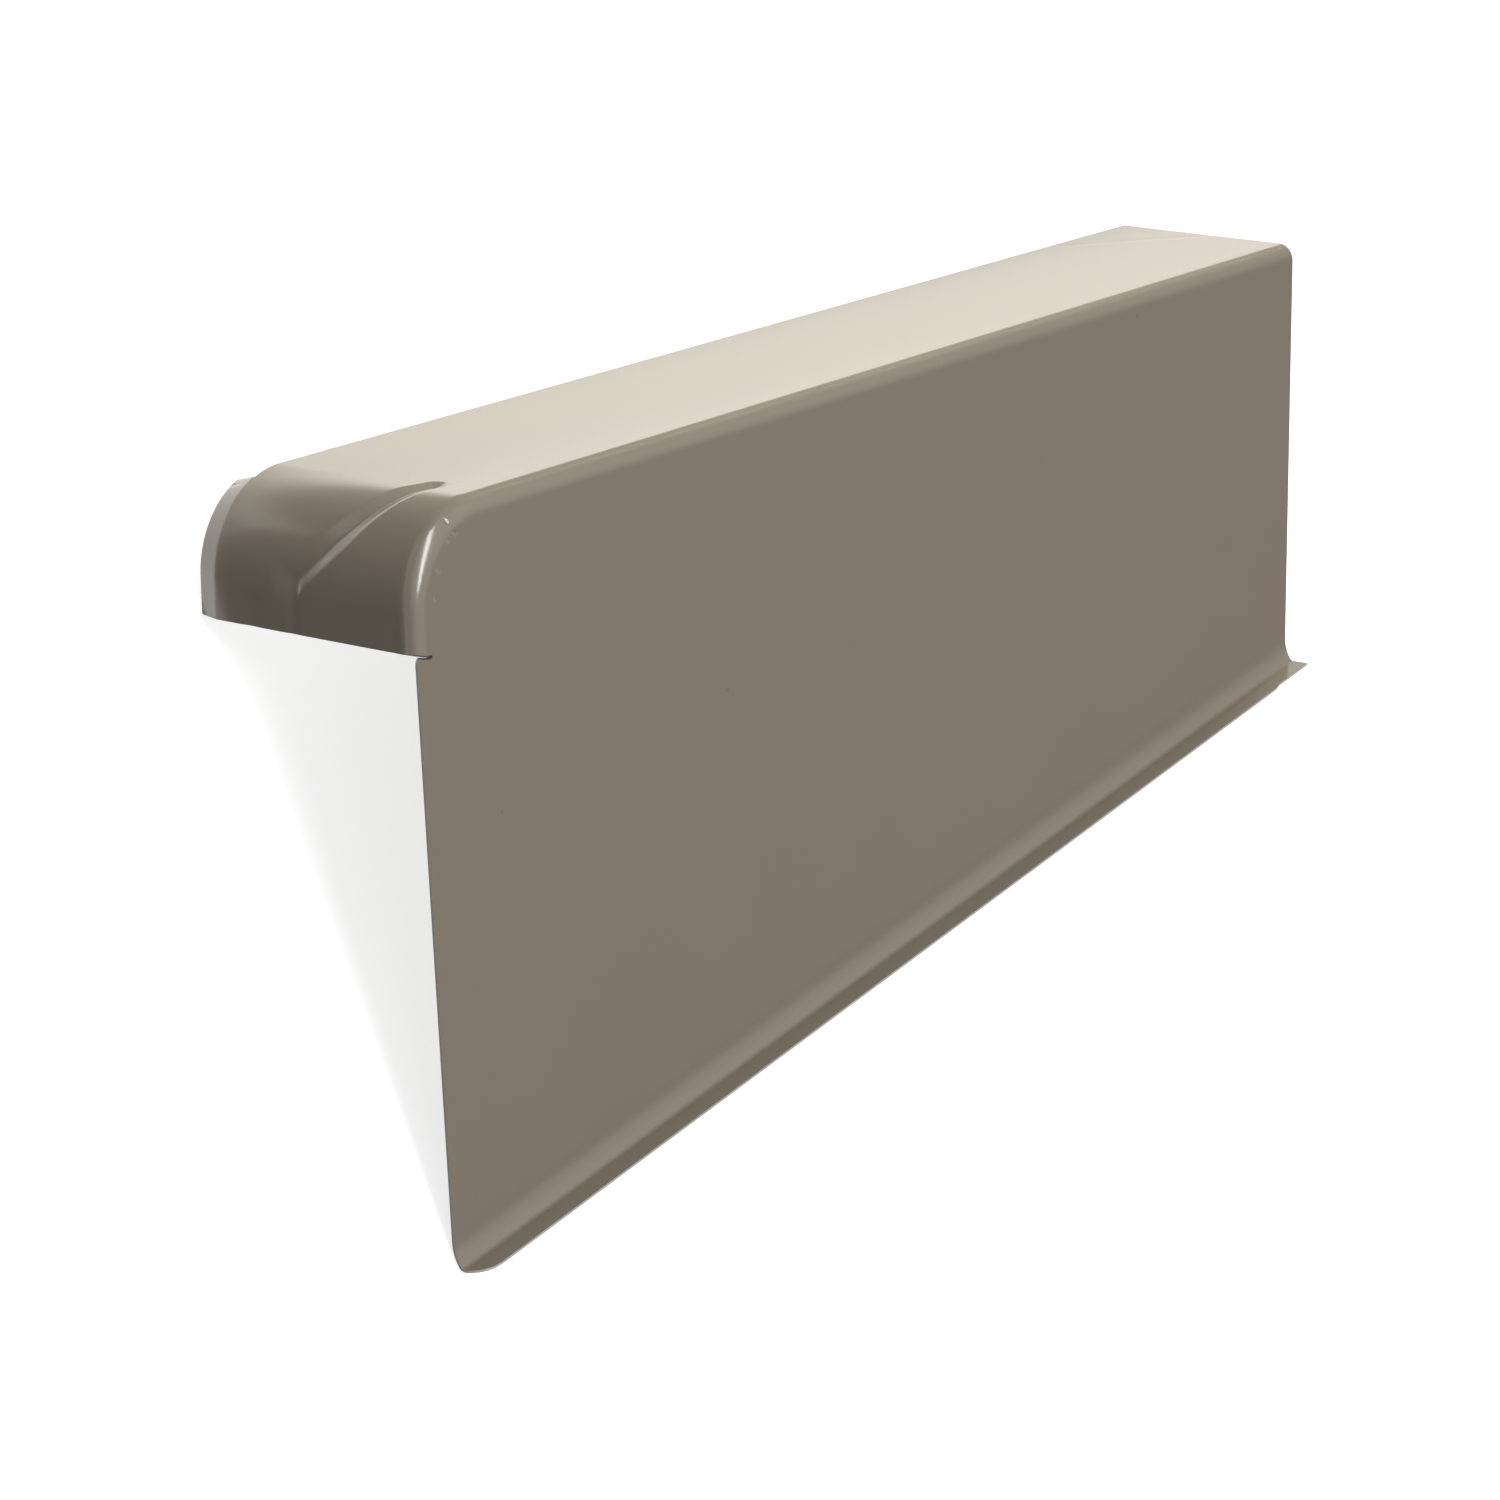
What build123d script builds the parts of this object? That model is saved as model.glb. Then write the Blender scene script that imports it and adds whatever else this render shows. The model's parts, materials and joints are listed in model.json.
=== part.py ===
from build123d import *
import os
from math import cos, hypot, pi, radians, sin, tan

# One verge flashing: a tall web, a narrow top flange and a drawn nose, pressed from
# one coated steel sheet. Millimetres. While it is being made the piece stands as it
# does on the roof: X runs from the nose to the tail, the web's outer face is the
# plane Y = 0 with the flange behind it, and the flange's top face is the plane Z = 0.

# Driving dimensions
LENGTH = 430.0               # nose to tail, along the flange
SHEET = 0.7                  # coated steel sheet
FLANGE_NOSE_WIDTH = 66.0     # flange at the nose
FLANGE_TAIL_WIDTH = 62.0     # flange at the tail, which slips under the next nose
WEB_NOSE_DEPTH = 202.0       # flange top to the lip's bend, at the nose end
WEB_TAIL_DEPTH = 134.0       # the same at the tail
WEB_EDGE_TOP = 0.7           # web's front edge behind the nose face, just under the nose
WEB_EDGE_FOOT = 9.0          # web's front edge behind the nose face, at the lip
WEB_EDGE_ROUND = 1.5         # rounded upper corner of that edge

NOSE_DEPTH = 36.0            # flange top to the nose's lower edge
SHOULDER_RADIUS = 26.0       # flange rolled down into the nose face
BEND_RADIUS = 5.0            # outside radius of the flange's bend and the nose's near corner
RETURN_WIDTH = 6.5           # far edge of the nose, turned back: its reach past the flange
RETURN_ANGLE = 17.0          # how far it is turned back, in degrees
RETURN_RADIUS = 3.0          # outside radius where it turns
RETURN_END = 16.5            # where it stops on the shoulder, behind the nose face

BEAD_DEPTH = 1.0             # slanting bead pressed into the nose
BEAD_RADIUS = 3.5            # radius of the bead's round section
BEAD_TOP_PAST = 5.2          # bead's upper end, this far along the flange from the shoulder
BEAD_TOP_ACROSS = 16.8       # the same end, from the web's outer face
BEAD_TOP_SLANT = 0.22        # how steeply the bead leaves that end, across over along
BEAD_FOOT_ABOVE = 4.2        # bead's foot, this far up the shoulder
BEAD_FOOT_ACROSS = 38.6      # the same foot, from the web's outer face
BEAD_FOOT_SLANT = 0.75       # how steeply the bead reaches its foot
BEAD_TURN_RADIUS = 14.0      # radius of each turn in the bead's route
RUNOUT_DEPTH = 0.2           # faint run-out from the bead's foot down the nose face
RUNOUT_ACROSS = 39.8         # that run-out, from the web's outer face

SLIT_LENGTH = 6.4            # relief slit between the nose's corner and the flat web
SLIT_GAP = 0.6

LIP_WIDTH = 9.0              # lip at the web's foot, turned outwards
LIP_BEND_RADIUS = 4.0        # inside radius of its bend
LIP_END_RADIUS = 8.0         # rounded front end of the lip
LIP_STEP_WIDTH = 0.8         # the lip is narrower by this at the tail
LIP_STEP_LENGTH = 17.5       # length of the narrower stretch
LIP_STEP_SLANT = 3.3         # length over which it narrows

# Working allowances: how far a cutting body stands past what it cuts, how far two
# bodies that become one sheet lap each other, and how finely a route is divided
PAST = 20.0
LAP = 1.0
BEAD_SPANS = 5
CONTACT_ROUNDS = 4           # steps that settle where the round foot touches the floor

face_run = NOSE_DEPTH - SHOULDER_RADIUS
shoulder_run = SHOULDER_RADIUS * pi / 2
below_slit = -NOSE_DEPTH - SLIT_GAP
lip_rise = WEB_NOSE_DEPTH - WEB_TAIL_DEPTH
lip_run = LENGTH - WEB_EDGE_FOOT
lip_length = hypot(lip_run, lip_rise)
lip_direction = Vector(lip_run, 0, lip_rise).normalized()
lip_start = Vector(WEB_EDGE_FOOT, 0, -WEB_NOSE_DEPTH)
lip_plane = Plane(origin=lip_start, x_dir=(0, 1, 0), z_dir=lip_direction)
side_plane = Plane.XZ        # looks along +Y: its x is X and its y is Z


def through_y(outline):
    """A bar of the given side outline, wide enough to cut the whole piece."""
    half = FLANGE_NOSE_WIDTH + RETURN_WIDTH + PAST
    return extrude(side_plane * outline, amount=half, both=True)


def through_z(outline):
    """A bar of the given plan outline, tall enough to cut the whole piece."""
    return extrude(outline, amount=WEB_NOSE_DEPTH + PAST, both=True)


def drawn_form(inset):
    """The block whose skin the nose and flange follow, inset by a sheet thickness or by 0."""
    far_side = FLANGE_NOSE_WIDTH + RETURN_WIDTH + PAST
    tail = LENGTH + PAST
    depth = NOSE_DEPTH + PAST
    block = Pos(inset, inset, -depth) * Box(
        tail - inset, far_side - inset, depth - inset, align=(Align.MIN, Align.MIN, Align.MIN)
    )
    brow = block.edges().filter_by(Axis.Y).group_by(Axis.Z)[-1].sort_by(Axis.X)[0]
    block = fillet(brow, SHOULDER_RADIUS - inset)
    block = fillet(skin_edges(block, inset), BEND_RADIUS - inset)
    crease = FLANGE_NOSE_WIDTH - inset * tan(radians(RETURN_ANGLE) / 2)
    reach = far_side - crease
    drop = reach * tan(radians(RETURN_ANGLE))
    side = block.faces().sort_by(Axis.Y)[-1]
    block = chamfer(skin_edges(block, far_side), drop, reach, reference=side)
    return fillet(skin_edges(block, crease), RETURN_RADIUS - inset)


def skin_edges(block, y):
    """The edges in the plane at y that run down the nose, round the shoulder and along the top."""
    lowest = -(NOSE_DEPTH + PAST)
    tail = LENGTH + PAST
    kept = []
    for edge in block.edges():
        middle = edge @ 0.5
        stray = max(abs((edge @ share).Y - y) for share in (0, 0.5, 1))
        if stray < SHEET / 100 and middle.Z > lowest + SHEET and middle.X < tail - SHEET:
            kept.append(edge)
    return kept


def over_skin(run, across, lift):
    """The point that stands lift above the nose's skin, run up from the nose's lower edge."""
    if run < face_run:
        return Vector(-lift, across, run - NOSE_DEPTH)
    if run > face_run + shoulder_run:
        return Vector(run - face_run - shoulder_run + SHOULDER_RADIUS, across, lift)
    angle = (run - face_run) / SHOULDER_RADIUS
    reach = SHOULDER_RADIUS + lift
    return Vector(SHOULDER_RADIUS - reach * cos(angle), across, reach * sin(angle) - SHOULDER_RADIUS)


def bead_across(share):
    """The bead's distance from the web, as a smooth curve from its upper end, 0, to its foot, 1."""
    span = BEAD_TOP_PAST + shoulder_run - BEAD_FOOT_ABOVE
    rest = 1 - share
    ends = BEAD_TOP_ACROSS * (1 + 2 * share) * rest**2 + BEAD_FOOT_ACROSS * (3 - 2 * share) * share**2
    slants = BEAD_TOP_SLANT * share * rest**2 - BEAD_FOOT_SLANT * rest * share**2
    return ends + span * slants


def bead_route():
    """The line of the bead's centre over the nose, by straight runs and tangent arcs."""
    top = face_run + shoulder_run + BEAD_TOP_PAST
    foot = face_run + BEAD_FOOT_ABOVE
    lift = BEAD_RADIUS - BEAD_DEPTH
    points = []
    for step in range(BEAD_SPANS + 1):
        share = step / BEAD_SPANS
        points.append(over_skin(top + (foot - top) * share, bead_across(share), lift))
    runout_lift = BEAD_RADIUS - RUNOUT_DEPTH
    points.append(over_skin(foot / 2, RUNOUT_ACROSS, runout_lift))
    points.append(over_skin(-BEAD_RADIUS, RUNOUT_ACROSS, runout_lift))
    return FilletPolyline(*points, radius=BEAD_TURN_RADIUS)


def bead_body(radius):
    """The round bar that presses the bead, with a ball at its upper end."""
    route = bead_route()
    start = Plane(origin=route @ 0, z_dir=route % 0)
    bar = sweep(start * Circle(radius), path=route)
    return bar + Pos(*(route @ 0)) * Sphere(radius)


def nose_and_flange():
    """The drawn nose with its bead, its near corner and the flange, as one open sheet."""
    form = drawn_form(0.0)
    skin = form - drawn_form(SHEET) + (bead_body(BEAD_RADIUS + SHEET) & form)
    skin -= bead_body(BEAD_RADIUS)
    side = Polyline(
        (-PAST, -NOSE_DEPTH),
        (LENGTH, -NOSE_DEPTH),
        (LENGTH, PAST),
        (-PAST, PAST),
        close=True,
    )
    plan = Polyline(
        (-PAST, -PAST),
        (LENGTH, -PAST),
        (LENGTH, FLANGE_TAIL_WIDTH),
        (RETURN_END, FLANGE_NOSE_WIDTH),
        (RETURN_END, FLANGE_NOSE_WIDTH + RETURN_WIDTH),
        (-PAST, FLANGE_NOSE_WIDTH + RETURN_WIDTH),
        close=True,
    )
    return skin & through_y(make_face(side)) & through_z(make_face(plan))


def web_outline():
    """The flat web seen from the side, with its slanting foot run past the lip."""
    slit_end = WEB_EDGE_TOP + SLIT_LENGTH
    slant = (WEB_EDGE_FOOT - WEB_EDGE_TOP) / (WEB_NOSE_DEPTH + below_slit)
    outline = Polyline(
        (WEB_EDGE_TOP, below_slit),
        (slit_end, below_slit),
        (slit_end, -NOSE_DEPTH + LAP),
        (LENGTH, -NOSE_DEPTH + LAP),
        (LENGTH, -WEB_NOSE_DEPTH - PAST),
        (WEB_EDGE_FOOT + PAST * slant, -WEB_NOSE_DEPTH - PAST),
        close=True,
    )
    face = make_face(outline)
    corner = face.vertices().sort_by_distance((WEB_EDGE_TOP, below_slit, 0))[0]
    return fillet(corner, WEB_EDGE_ROUND)


def lip_outline():
    """The lip seen along the web: rounded at its front, stepped in at the tail."""
    step = lip_length - LIP_STEP_LENGTH
    outline = Polyline(
        (0, PAST),
        (0, -LIP_WIDTH),
        (step - LIP_STEP_SLANT, -LIP_WIDTH),
        (step, -LIP_WIDTH + LIP_STEP_WIDTH),
        (lip_length + PAST, -LIP_WIDTH + LIP_STEP_WIDTH),
        (lip_length + PAST, PAST),
        close=True,
    )
    face = make_face(outline)
    corner = face.vertices().sort_by_distance((0, -LIP_WIDTH, 0))[0]
    return fillet(corner, LIP_END_RADIUS)


def web_and_lip():
    """The web with the lip bent outwards along its slanting foot."""
    bend = (-LIP_BEND_RADIUS, LIP_BEND_RADIUS)
    outer = LIP_BEND_RADIUS + SHEET
    leg = Pos(SHEET / 2, LIP_BEND_RADIUS) * Rectangle(
        SHEET, WEB_NOSE_DEPTH, align=(Align.CENTER, Align.MIN)
    )
    foot = Pos(-LIP_BEND_RADIUS, 0) * Rectangle(
        LIP_WIDTH - LIP_BEND_RADIUS, SHEET, align=(Align.MAX, Align.MAX)
    )
    ring = Pos(*bend) * (Circle(outer) - Circle(LIP_BEND_RADIUS))
    quarter = Pos(*bend) * Rectangle(outer, outer, align=(Align.MIN, Align.MAX))
    section = leg + foot + (ring & quarter)
    run = extrude(lip_plane * section, amount=lip_length + PAST)
    run += extrude(lip_plane * section, amount=-PAST)
    plan = Plane(origin=lip_start, x_dir=lip_direction, z_dir=lip_plane.y_dir)
    lip_bar = extrude(plan * lip_outline(), amount=LIP_BEND_RADIUS)
    lip_bar += extrude(plan * lip_outline(), amount=-PAST)
    web_bar = extrude(plan.offset(LIP_BEND_RADIUS) * Pos(-PAST, -LIP_WIDTH) * Rectangle(
        lip_length + 2 * PAST, 2 * LIP_WIDTH, align=(Align.MIN, Align.MIN)
    ), amount=WEB_NOSE_DEPTH + PAST)
    return run & through_y(web_outline()) & (lip_bar + web_bar)


def foot_contact(down):
    """The point of the lip's bend, at the web's front edge, that lies furthest along down."""
    across = down.dot(lip_plane.x_dir)
    along_web = down.dot(lip_plane.y_dir)
    share = (LIP_BEND_RADIUS + SHEET) / hypot(across, along_web)
    y = -LIP_BEND_RADIUS + share * across
    v = LIP_BEND_RADIUS + share * along_web
    lean = (WEB_EDGE_FOOT - WEB_EDGE_TOP) / (WEB_NOSE_DEPTH + below_slit)
    rise = lip_rise / lip_run
    s = max(0.0, v * (rise - lean) / (1 + rise * lean))
    return lip_plane.from_local_coords(Vector(y, v, s))


def floor_plane():
    """The floor under the piece as it lies unheld with the web's outer face up. It touches
    the nose's turned edge, the flange's tail corner and the bend at the web's foot."""
    angle = radians(RETURN_ANGLE)
    setback = SHEET + (RETURN_WIDTH + SHEET * tan(angle / 2)) * tan(angle)
    nose_corner = Vector(setback, FLANGE_NOSE_WIDTH + RETURN_WIDTH, -NOSE_DEPTH)
    tail_corner = Vector(LENGTH, FLANGE_TAIL_WIDTH, -SHEET)
    down = Vector(0, 1, 0)
    for _ in range(CONTACT_ROUNDS):
        foot = foot_contact(down)
        down = (tail_corner - nose_corner).cross(foot - nose_corner).normalized()
        if down.Y < 0:
            down = -down
    up = -down
    forward = Vector(1, 0, 0) - up * up.X
    return Plane(origin=foot, x_dir=forward, z_dir=up)


def lie_down(piece):
    """The piece on its floor, with the middle of its footprint's box at the origin."""
    lying = piece.moved(floor_plane().location.inverse())
    box = lying.bounding_box()
    return lying.moved(Pos(-box.center().X, -box.center().Y, -box.min.Z))


flashing = lie_down(nose_and_flange() + web_and_lip())
flashing.label = "verge_flashing"
os.makedirs("parts", exist_ok=True)
export_step(flashing, "parts/verge_flashing.step")
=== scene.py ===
import json
from math import asin, cos, hypot, pi, radians, sin, sqrt, tan

import bmesh
import bpy
from mathutils import Matrix, Vector


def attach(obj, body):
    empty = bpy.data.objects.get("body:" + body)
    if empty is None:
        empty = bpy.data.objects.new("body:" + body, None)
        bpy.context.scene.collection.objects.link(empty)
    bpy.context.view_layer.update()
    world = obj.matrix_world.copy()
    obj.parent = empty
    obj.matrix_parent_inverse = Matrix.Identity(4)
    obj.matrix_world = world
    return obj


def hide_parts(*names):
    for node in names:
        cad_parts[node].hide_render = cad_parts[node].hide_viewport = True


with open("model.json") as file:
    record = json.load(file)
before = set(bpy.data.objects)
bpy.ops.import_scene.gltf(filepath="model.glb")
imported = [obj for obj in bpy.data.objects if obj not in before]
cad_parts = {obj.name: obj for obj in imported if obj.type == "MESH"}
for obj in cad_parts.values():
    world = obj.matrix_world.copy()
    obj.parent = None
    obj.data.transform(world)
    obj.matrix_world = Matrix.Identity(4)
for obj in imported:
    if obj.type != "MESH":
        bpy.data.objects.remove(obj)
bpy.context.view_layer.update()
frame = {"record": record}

bl_info = {
    "name": "Verge flashing",
    "version": (1, 0, 0),
    "blender": (4, 5, 0),
    "location": "3D View > Sidebar > Flashing",
    "description": "Builds a pressed sheet-steel verge flashing and its studio",
    "category": "Object",
}

NODE = "verge_flashing"
PIECE = "flashing_sheet"
MM = 0.001
HAIR = MM / 1000


# Sizes and colours that a user would change


def length(name, description, millimetres):
    """A property for one size of the sheet, given in millimetres and kept in metres."""
    return bpy.props.FloatProperty(
        name=name, description=description, default=millimetres * MM,
        unit="LENGTH", precision=5)


class FlashingSizes(bpy.types.PropertyGroup):
    """The sizes of the pressed sheet, as it stands on the roof"""

    length: length("Length", "Nose to tail, along the flange", 430)
    sheet: length("Sheet", "Thickness of the coated steel sheet", 0.7)
    nose_width: length("Flange at the nose", "Width of the flange at its nose end", 66)
    tail_width: length("Flange at the tail", "Width of the flange at its tail end", 62)
    web_nose_depth: length("Web at the nose", "Flange top to the lip, at the nose end", 202)
    web_tail_depth: length("Web at the tail", "Flange top to the lip, at the tail", 134)
    edge_top: length("Web edge, top", "Web's front edge behind the nose face, under the nose", 0.7)
    edge_foot: length("Web edge, foot", "Web's front edge behind the nose face, at the lip", 9)
    edge_round: length("Web edge round", "Height of the round at the web's upper corner", 2.7)
    edge_round_along: length("Web edge round, along", "Length of that round, on the slit", 1.9)
    nose_depth: length("Nose depth", "Flange top to the nose's lower edge", 36)
    shoulder: length("Shoulder radius", "Radius that rolls the flange into the nose face", 26)
    bend: length("Bend radius", "Outside radius of the flange's bend and the nose's corner", 5)
    return_width: length("Return width", "Reach of the nose's turned far edge", 6.5)
    return_radius: length("Return radius", "Outside radius where that edge turns", 3)
    return_end: length("Return end", "Where the turned edge stops, behind the nose face", 16.5)
    slit_length: length("Slit length", "Relief slit under the nose's corner", 5.8)
    slit_gap: length("Slit gap", "Height of the relief slit", 0.15)
    corner_dip: length("Corner dip", "How far the nose's edge is drawn down at its corner", 1.3)
    lip_width: length("Lip width", "Lip at the web's foot", 9)
    lip_roll: length("Lip roll radius", "Wide radius that rolls the web into the lip's bend", 12)
    lip_bend: length("Lip bend radius", "Inside radius of the rest of the lip's bend", 1.6)
    lip_end: length("Lip end radius", "Rounded front end of the lip", 8)
    lip_step: length("Lip step", "How much narrower the lip is at the tail", 0.8)
    lip_step_length: length("Lip step length", "Length of the narrower stretch of lip", 17.5)
    lip_step_slant: length("Lip step slant", "Length over which the lip narrows", 3.3)
    bead_depth: length("Bead depth", "Depth of the slanting bead in the nose", 1.15)
    bead_near_wall: length("Bead near wall", "Width of the bead's wall on the web's side", 3.2)
    bead_far_wall: length("Bead far wall", "Width of its other wall, at the flange", 2.9)
    bead_foot_wall: length("Bead foot wall", "Width of its other wall, at the foot", 7.0)
    bead_top_past: length("Bead top", "Bead's upper end, along the flange from the shoulder", 5.2)
    bead_top_across: length("Bead top, across", "The same end, from the web's outer face", 16.2)
    bead_foot_above: length("Bead foot", "Bead's foot, up the shoulder from its lower end", 4.2)
    bead_foot_across: length("Bead foot, across", "The same foot, from the web's outer face", 39.4)
    runout_depth: length("Run-out depth", "Faint run-out from the bead's foot down the face", 0.2)
    runout_across: length("Run-out, across", "That run-out, from the web's outer face", 39.8)
    return_angle: bpy.props.FloatProperty(
        name="Return angle", description="How far the nose's far edge is turned back",
        default=radians(17), subtype="ANGLE")
    bead_top_slant: bpy.props.FloatProperty(
        name="Bead top slant", description="Slope with which the bead leaves its upper end",
        default=0.30)
    bead_foot_slant: bpy.props.FloatProperty(
        name="Bead foot slant", description="Slope with which the bead reaches its foot",
        default=1.15)
    lip_roll_angle: bpy.props.FloatProperty(
        name="Lip roll angle", description="How far the web turns on the wide radius",
        default=radians(32), subtype="ANGLE")


class FlashingLooks(bpy.types.PropertyGroup):
    """The colours of the coating, of its cut edges and of the studio"""

    coating: bpy.props.FloatVectorProperty(
        name="Coating", description="Colour of the paint coat, linear",
        subtype="COLOR", size=3, default=(0.152, 0.129, 0.100), min=0.0, max=1.0)
    cut_edge: bpy.props.FloatVectorProperty(
        name="Cut edge", description="Colour of the sheet's bare zinc and steel edge, linear",
        subtype="COLOR", size=3, default=(0.36, 0.34, 0.31), min=0.0, max=1.0)
    floor: bpy.props.FloatVectorProperty(
        name="Floor", description="Colour of the studio floor, linear",
        subtype="COLOR", size=3, default=(0.35, 0.35, 0.35), min=0.0, max=1.0)


# The frame in which the piece stands on the roof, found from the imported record


def mount(name):
    """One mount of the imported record."""
    return next(m for m in frame["record"]["mounts"] if m["name"] == name)


def roof_frame(size):
    """Takes a point of the roof frame, in metres, to its place as the piece lies."""
    top = mount("flange_top")
    z = Vector(top["axis"]).normalized()
    y = Vector(mount("web_inner_face")["axis"])
    y = (y - z * y.dot(z)).normalized()
    x = y.cross(z)
    turn = Matrix((x, y, z)).transposed()
    middle = Vector((size.length / 2, size.tail_width / 2, 0))
    place = Vector(top["pos_m"]) - turn @ middle
    return Matrix.Translation(place) @ turn.to_4x4()


# The skin: the sheet's outer face, as patches that share their borders


SUPPORT = 0.4 * MM       # narrow flat strip beside each bend, which keeps its shading to itself
BEND_PARTS = 20          # facets in a quarter bend
RETURN_PARTS = 5         # facets where the nose's far edge turns back
ROLL_PARTS = 14          # facets in the lip's wide roll
TURN_PARTS = 10          # facets in the rest of the lip's bend
BEAD_STEP = 0.42 * MM    # faces of the nose and flange where the bead runs
FAR_STEP = 1.5 * MM      # faces across them on the bead's far side
NEAR_STEP = 1.2 * MM     # faces across them on the web's side
FLANGE_STEP = 9 * MM     # faces along the plain flange
TAIL_STEP = 1.3 * MM     # faces along its tail, where a crease crosses it
TAIL_STRETCH = 46 * MM   # length of that tail
LIP_STEP = 0.1           # faces along the lip, as a share of it
LIP_FRONT = [0, 0.002, 0.006, 0.015, 0.04, LIP_STEP]    # the same at its rounded front end
LIP_ACROSS = 0.06        # faces across the lip, as a share of its flat part
CORNER_STEP = 0.1        # points on the web's rounded corner, as a share of it
WELD = 1e7               # points nearer than a metre over this are one


def spread(low, high, step):
    """Evenly spaced values from low to high, about step apart."""
    count = max(1, round(abs(high - low) / step))
    return [low + (high - low) * i / count for i in range(count + 1)]


def joined(*runs):
    """Runs of values that follow each other, with the shared ends written once."""
    values = list(runs[0])
    for run in runs[1:]:
        values += run[1:]
    return values


class Skin:
    """Grids and flat faces welded into one open surface."""

    def __init__(self):
        self.points = []
        self.index = {}
        self.faces = []

    def vertex(self, point):
        """The number of a point, which is kept once where patches share it."""
        key = tuple(round(c * WELD) for c in point)
        if key not in self.index:
            self.index[key] = len(self.points)
            self.points.append(tuple(point))
        return self.index[key]

    def flat(self, outline):
        """Adds one flat face."""
        kept = list(dict.fromkeys(self.vertex(p) for p in outline))
        if len(kept) > 2:
            self.faces.append(kept)

    def grid(self, rows):
        """Adds the faces between rows of points."""
        for low, high in zip(rows[:-1], rows[1:]):
            for i in range(len(low) - 1):
                self.flat((low[i], low[i + 1], high[i + 1], high[i]))

    def mesh(self, name):
        """The faces as a mesh."""
        mesh = bpy.data.meshes.new(name)
        mesh.from_pydata(self.points, [], self.faces)
        mesh.validate()
        mesh.update()
        return mesh


class Profile:
    """The nose and flange in side view, by the length run up from the nose's lower edge."""

    def __init__(self, size):
        self.size = size
        self.face = size.nose_depth - size.shoulder
        self.flange = self.face + size.shoulder * pi / 2
        self.total = self.flange + size.length - size.shoulder

    def point(self, run, across, depth):
        """A point across from the web, and depth below the skin."""
        radius = self.size.shoulder
        if run <= self.face:
            return Vector((depth, across, run - self.size.nose_depth))
        if run < self.flange:
            angle = (run - self.face) / radius
            reach = radius - depth
            return Vector((radius - reach * cos(angle), across, reach * sin(angle) - radius))
        return Vector((run - self.flange + radius, across, -depth))

    def run_at(self, x, depth=0.0):
        """The length at which the line, moved inwards by depth, passes x on the shoulder."""
        radius = self.size.shoulder
        return self.face + radius * (pi / 2 - asin((radius - x) / (radius - depth)))


def crease_start(size):
    """Where the skin leaves the flat towards the nose's turned edge."""
    return size.nose_width - size.return_radius * tan(size.return_angle / 2)


def flange_edge(size, x):
    """The far edge of the flange behind the nose's turned edge; it is narrower at the tail."""
    share = max(0.0, x - size.return_end) / (size.length - size.return_end)
    start = crease_start(size)
    return start + (size.tail_width - start) * share


def profile_steps(size, line):
    """Where the skin is divided along the nose, shoulder and flange."""
    bead_end = line.flange + size.bead_top_past + size.bead_far_wall
    tail = line.total - TAIL_STRETCH
    stops = (0, line.face, line.run_at(size.return_end), line.flange, bead_end)
    runs = [spread(low, high, BEAD_STEP) for low, high in zip(stops[:-1], stops[1:])]
    runs.append(spread(bead_end, tail, FLANGE_STEP))
    runs.append(spread(tail, line.total, TAIL_STEP))
    return joined(*runs)


def crown_shares(size):
    """Where the flange is divided across, finely where the bead runs, from its far edge."""
    near, far = size.bend, crease_start(size)
    beside = size.bead_foot_wall + MM
    bead_far, bead_near = size.runout_across + beside, size.bead_top_across - beside
    values = joined(
        spread(far, bead_far, FAR_STEP),
        spread(bead_far, bead_near, BEAD_STEP),
        spread(bead_near, near + SUPPORT, NEAR_STEP),
        [near + SUPPORT, near],
    )
    return [(value - near) / (far - near) for value in values]


def drawn_down(size, line, run, turned):
    """The run, a little lower where the nose's corner has turned by an angle towards the web."""
    return run - size.corner_dip * max(0.0, 1 - run / line.face) * (1 - cos(turned))


def crown_rows(size, line, steps):
    """Nose face, shoulder and flange, with the bend that rolls them into the web."""
    radius = size.bend
    shares = crown_shares(size)
    turn = spread(0, pi / 2, pi / 2 / BEND_PARTS)[1:]
    rows = []
    for run in steps:
        edge = flange_edge(size, line.point(run, 0, 0).x)
        row = [line.point(run, radius + (edge - radius) * share, 0) for share in shares]
        for a in turn:
            low = drawn_down(size, line, run, a)
            row.append(line.point(low, radius - radius * sin(a), radius - radius * cos(a)))
        row.append(line.point(drawn_down(size, line, run, pi / 2), 0, radius + SUPPORT))
        rows.append(row)
    return rows


def return_rows(size, line, steps):
    """The nose's far edge, turned back by a small angle."""
    radius, angle = size.return_radius, size.return_angle
    start = crease_start(size)
    turn = spread(0, angle, angle / RETURN_PARTS)
    bent = [(start + radius * sin(a), radius - radius * cos(a)) for a in turn]
    y, depth = bent[-1]
    reach = size.nose_width + size.return_width - y
    past = [(y, depth), *((y + w, depth + w * tan(angle)) for w in (SUPPORT, reach))]
    section = joined(bent, past)[::-1]
    end = line.run_at(size.return_end) + HAIR
    return [[line.point(run, y, depth) for y, depth in section] for run in steps if run < end]


def slit_foot(size, x):
    """Height of the relief slit's lower edge, which follows the nose's drawn-down corner."""
    return -size.nose_depth - size.corner_dip * min(1.0, x / size.bend) - size.slit_gap


def edge_lean(size):
    """How much the web's front edge moves back for each step down."""
    drop = size.web_nose_depth - size.nose_depth - size.corner_dip - size.slit_gap
    return (size.edge_foot - size.edge_top) / drop


def web_corner(size):
    """The rounded upper corner of the web's front edge, from the edge up to the slit."""
    x, z = size.edge_top, slit_foot(size, size.edge_top)
    end = x + size.edge_round_along
    low = Vector((x + edge_lean(size) * size.edge_round, 0, z - size.edge_round))
    tip = Vector((x, 0, z))
    past = Vector((end, 0, slit_foot(size, end)))
    turn = spread(0, 1, CORNER_STEP)
    return [low * (1 - t)**2 + tip * 2 * t * (1 - t) + past * t**2 for t in turn]


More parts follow.
